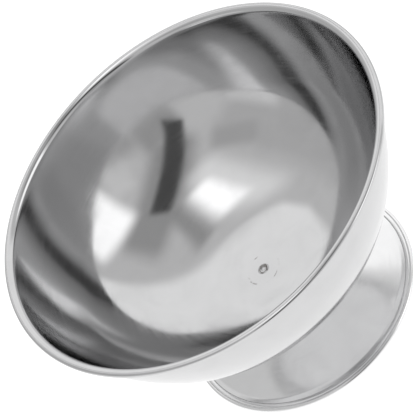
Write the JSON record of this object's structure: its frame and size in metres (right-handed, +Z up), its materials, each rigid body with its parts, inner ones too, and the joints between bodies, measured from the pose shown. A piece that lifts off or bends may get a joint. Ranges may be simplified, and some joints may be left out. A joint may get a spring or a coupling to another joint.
{
  "type": "shaving mug",
  "caption": "Footed shaving mug: a deep polished steel bowl with a rolled rim on a hollow flared pedestal foot, joined by a spot weld.",
  "frame": {"origin": "centre of the foot, on the plane that the foot stands on", "axes": "+Z up along the axis of the bowl; +X and +Y are arbitrary, because the object is turned"},
  "size_m": [0.105, 0.105, 0.0581],
  "materials": {
    "bowl_steel": "polished stainless steel, faint turning lines round the axis",
    "foot_steel": "polished stainless steel, slightly softer than the bowl",
    "weld_steel": "heat-tinted stainless steel, matt ring round a bright middle"
  },
  "bodies": {
    "root": {"bowl": "bowl_steel", "pedestal_foot": "foot_steel", "spot_weld": "weld_steel"}
  },
  "joints": []
}
